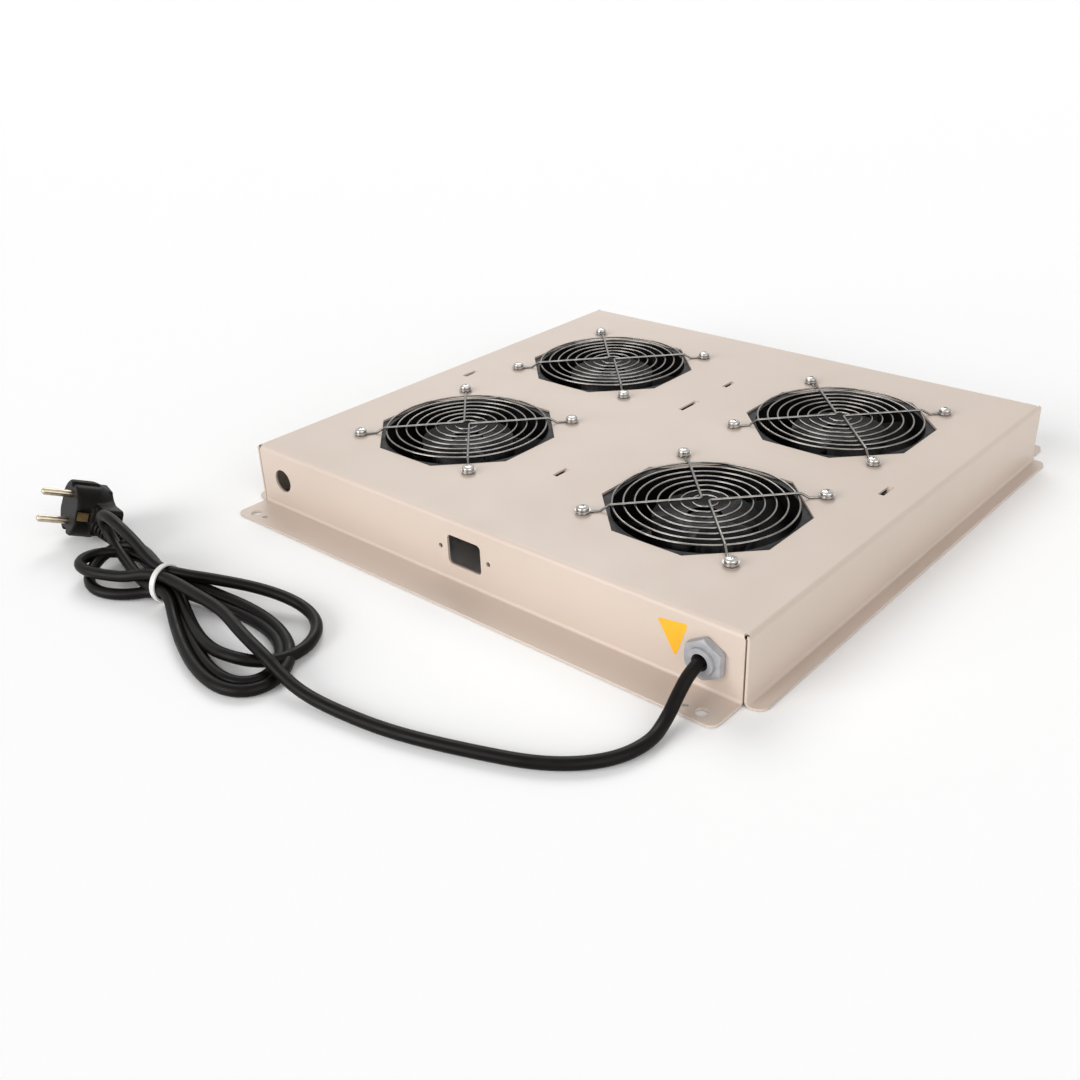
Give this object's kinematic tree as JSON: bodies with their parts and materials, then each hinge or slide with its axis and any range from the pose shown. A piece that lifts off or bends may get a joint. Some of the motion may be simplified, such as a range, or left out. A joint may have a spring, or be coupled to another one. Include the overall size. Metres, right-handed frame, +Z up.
{
  "type": "rack fan tray",
  "caption": "Folded sheet-metal rack fan tray with axial fans under wire finger guards, a cable gland and a supply cord with a plug.",
  "frame": {"origin": "centre of the tray on the plane of its mounting flanges", "axes": "+Z up, -Y towards the front wall with the cable gland and the inlet cut-out, +X to the right seen from that side"},
  "size_m": [0.4823, 0.5713, 0.0482],
  "materials": {
    "bearing_bronze": "sintered bronze",
    "contact_brass": "sprung brass strip",
    "cord_black": "black PVC sheath",
    "earth_green": "green and yellow PVC insulation",
    "earth_tin": "tinned copper",
    "fan_casting": "black e-coated die casting",
    "gland_nylon": "grey moulded polyamide",
    "guard_chrome": "bright nickel-chrome plated wire",
    "impeller_black": "glass-filled black plastic",
    "lamination_steel": "varnished laminations and windings",
    "lead_black": "PVC insulation",
    "pin_nickel": "nickel-plated brass",
    "plug_plastic": "black moulded PVC",
    "powder_coat": "fine satin powder coat, warm light grey",
    "rotor_steel": "black painted pressed steel",
    "screw_zinc": "bright zinc plate",
    "seal_rubber": "soft rubber",
    "shaft_steel": "ground steel",
    "terminal_brass": "plain brass",
    "terminal_plastic": "natural polyamide",
    "tie_black": "black polyamide",
    "tie_white": "natural polyamide"
  },
  "bodies": {
    "tray": {"cable_ties": "tie_black", "cord_hank": "cord_black", "cord_tube": "cord_black", "earth_lead": "earth_green", "earth_nuts": "screw_zinc", "earth_ring": "earth_tin", "earth_stud": "screw_zinc", "fan_bearings": "bearing_bronze", "fan_frame_front_left": "fan_casting", "fan_frame_front_right": "fan_casting", "fan_frame_rear_left": "fan_casting", "fan_frame_rear_right": "fan_casting", "fan_lead_front_left": "lead_black", "fan_lead_front_right": "lead_black", "fan_lead_rear_left": "lead_black", "fan_lead_rear_right": "lead_black", "fan_nuts": "screw_zinc", "fan_screws": "screw_zinc", "fan_washers": "screw_zinc", "finger_guard_front_left": "guard_chrome", "finger_guard_front_right": "guard_chrome", "finger_guard_rear_left": "guard_chrome", "finger_guard_rear_right": "guard_chrome", "gland_body": "gland_nylon", "gland_dome_nut": "gland_nylon", "gland_locknut": "gland_nylon", "gland_seal": "seal_rubber", "hank_tie": "tie_white", "plug_body": "plug_plastic", "plug_earth_contacts": "contact_brass", "plug_pins": "pin_nickel", "plug_sleeve": "plug_plastic", "stator_front_left": "lamination_steel", "stator_front_right": "lamination_steel", "stator_rear_left": "lamination_steel", "stator_rear_right": "lamination_steel", "supply_tail": "cord_black", "terminal_block": "terminal_plastic", "terminal_clamps": "terminal_brass", "terminal_mount": "screw_zinc", "terminal_screws": "screw_zinc", "tray_housing": "powder_coat"},
    "rotor_front_left": {"impeller_front_left": "impeller_black", "rotor_cup_front_left": "rotor_steel", "shaft_front_left": "shaft_steel"},
    "rotor_front_right": {"impeller_front_right": "impeller_black", "rotor_cup_front_right": "rotor_steel", "shaft_front_right": "shaft_steel"},
    "rotor_rear_left": {"impeller_rear_left": "impeller_black", "rotor_cup_rear_left": "rotor_steel", "shaft_rear_left": "shaft_steel"},
    "rotor_rear_right": {"impeller_rear_right": "impeller_black", "rotor_cup_rear_right": "rotor_steel", "shaft_rear_right": "shaft_steel"}
  },
  "joints": [
    {"name": "fan_spin_front_left", "type": "hinge", "parent": "tray", "child": "rotor_front_left", "pos_m": [-0.1005, -0.0825, 0.0225], "axis": [0, 0, 1], "continuous": true},
    {"name": "fan_spin_front_right", "type": "hinge", "parent": "tray", "child": "rotor_front_right", "pos_m": [0.1005, -0.0825, 0.0225], "axis": [0, 0, 1], "continuous": true},
    {"name": "fan_spin_rear_left", "type": "hinge", "parent": "tray", "child": "rotor_rear_left", "pos_m": [-0.1005, 0.0825, 0.0225], "axis": [0, 0, 1], "continuous": true},
    {"name": "fan_spin_rear_right", "type": "hinge", "parent": "tray", "child": "rotor_rear_right", "pos_m": [0.1005, 0.0825, 0.0225], "axis": [0, 0, 1], "continuous": true}
  ]
}
